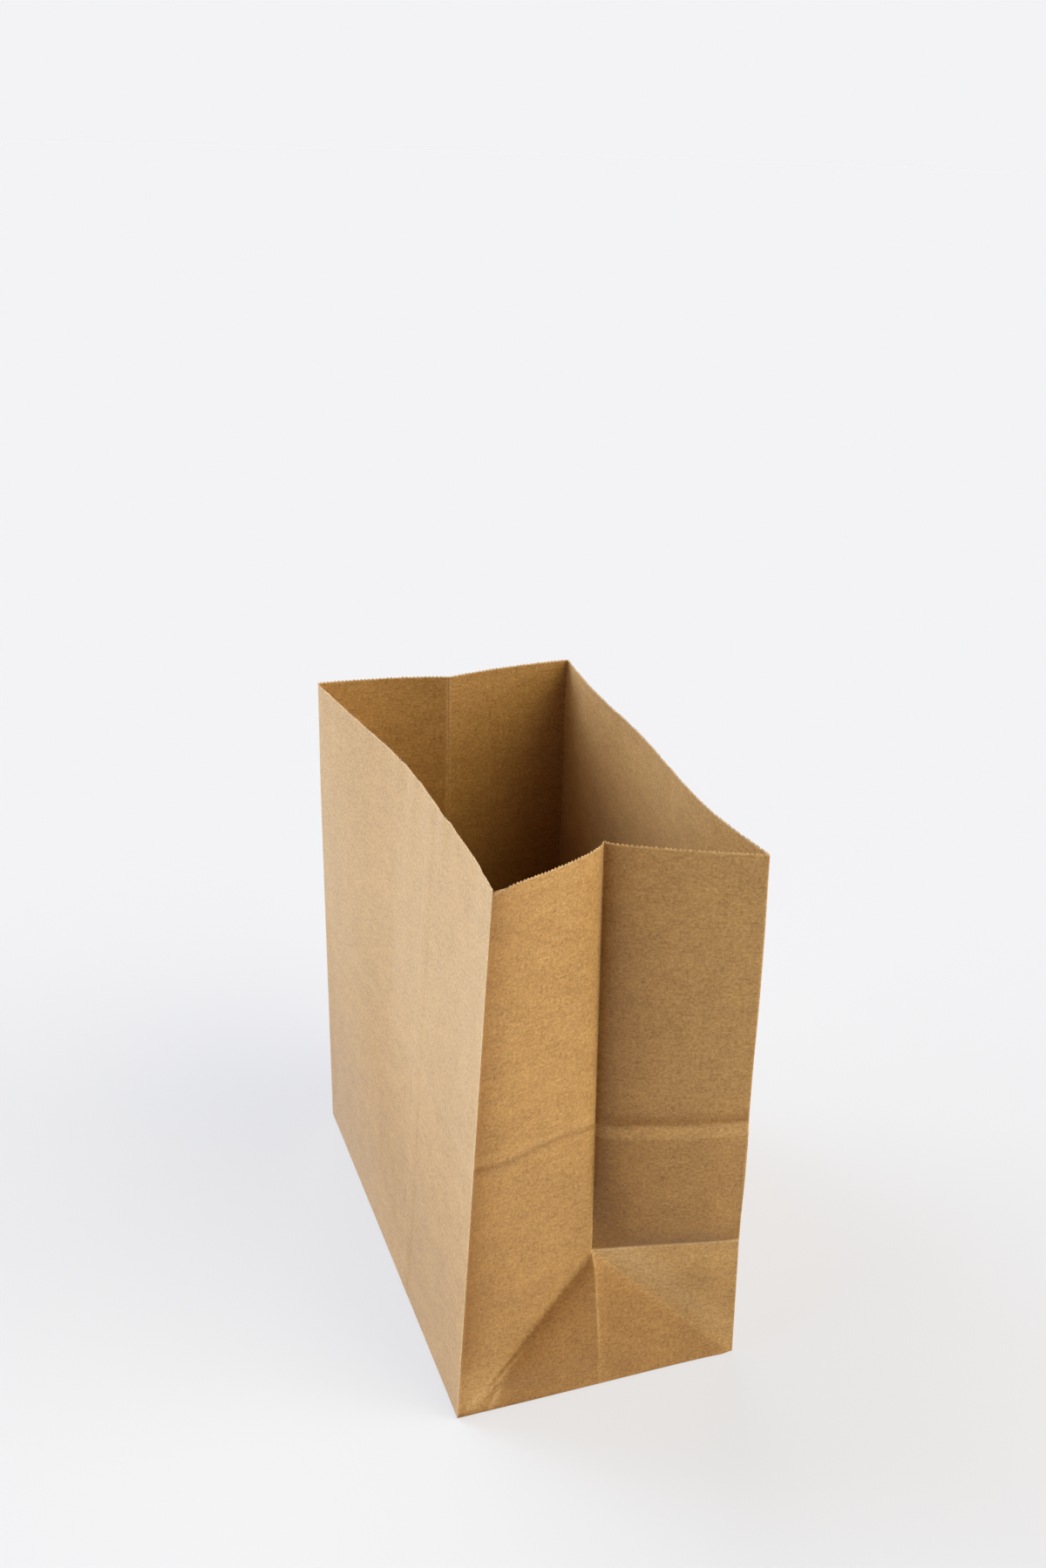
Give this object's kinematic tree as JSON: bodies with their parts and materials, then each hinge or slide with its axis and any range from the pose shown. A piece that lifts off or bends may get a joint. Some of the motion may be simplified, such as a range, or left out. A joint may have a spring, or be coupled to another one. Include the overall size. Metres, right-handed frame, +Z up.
{
  "type": "paper bag",
  "caption": "Brown kraft paper bag with gusseted sides, a folded square bottom and a saw-toothed rim, standing open to hold food or small goods.",
  "frame": {"origin": "middle of the base rectangle, on the surface the bag stands on", "axes": "+Z up towards the open rim; +X along the long side of the base, towards the gusset that is folded in; +Y towards the broad panel with the bottom crease"},
  "size_m": [0.306, 0.1784, 0.3388],
  "materials": {
    "kraft_paper": "matte"
  },
  "bodies": {
    "root": {"paper_bag": "kraft_paper"}
  },
  "joints": []
}
